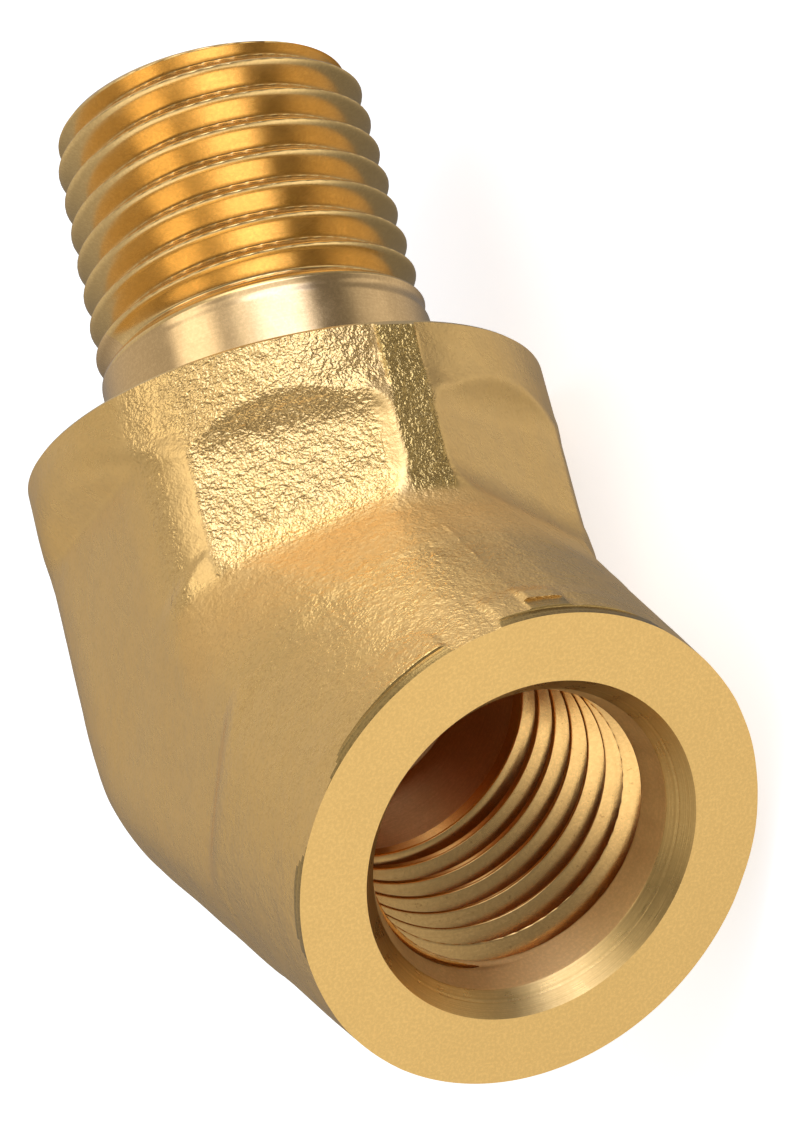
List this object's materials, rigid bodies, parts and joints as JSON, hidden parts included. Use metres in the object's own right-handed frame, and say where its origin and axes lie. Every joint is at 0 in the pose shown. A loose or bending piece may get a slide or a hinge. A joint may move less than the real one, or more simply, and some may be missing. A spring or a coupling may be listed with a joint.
{
  "type": "45 degree street elbow",
  "caption": "One-piece forged brass 45 degree street elbow: female taper pipe port with a turned face, wrench flats on the body, and a male taper pipe thread.",
  "frame": {"origin": "centre of the female port's machined face, where its axis meets the face plane", "axes": "the female branch runs along +Y from the face to the bend centre; the male branch leaves the bend in the XY plane at 45 degrees, towards +X and +Y; +Z is the normal of the plane that holds both branches, so the elbow lies on its side"},
  "size_m": [0.033, 0.0385, 0.0214],
  "materials": {
    "brass": "satin forged skin, bright turned faces and threads"
  },
  "bodies": {
    "root": {"elbow_body": "brass"}
  },
  "joints": []
}
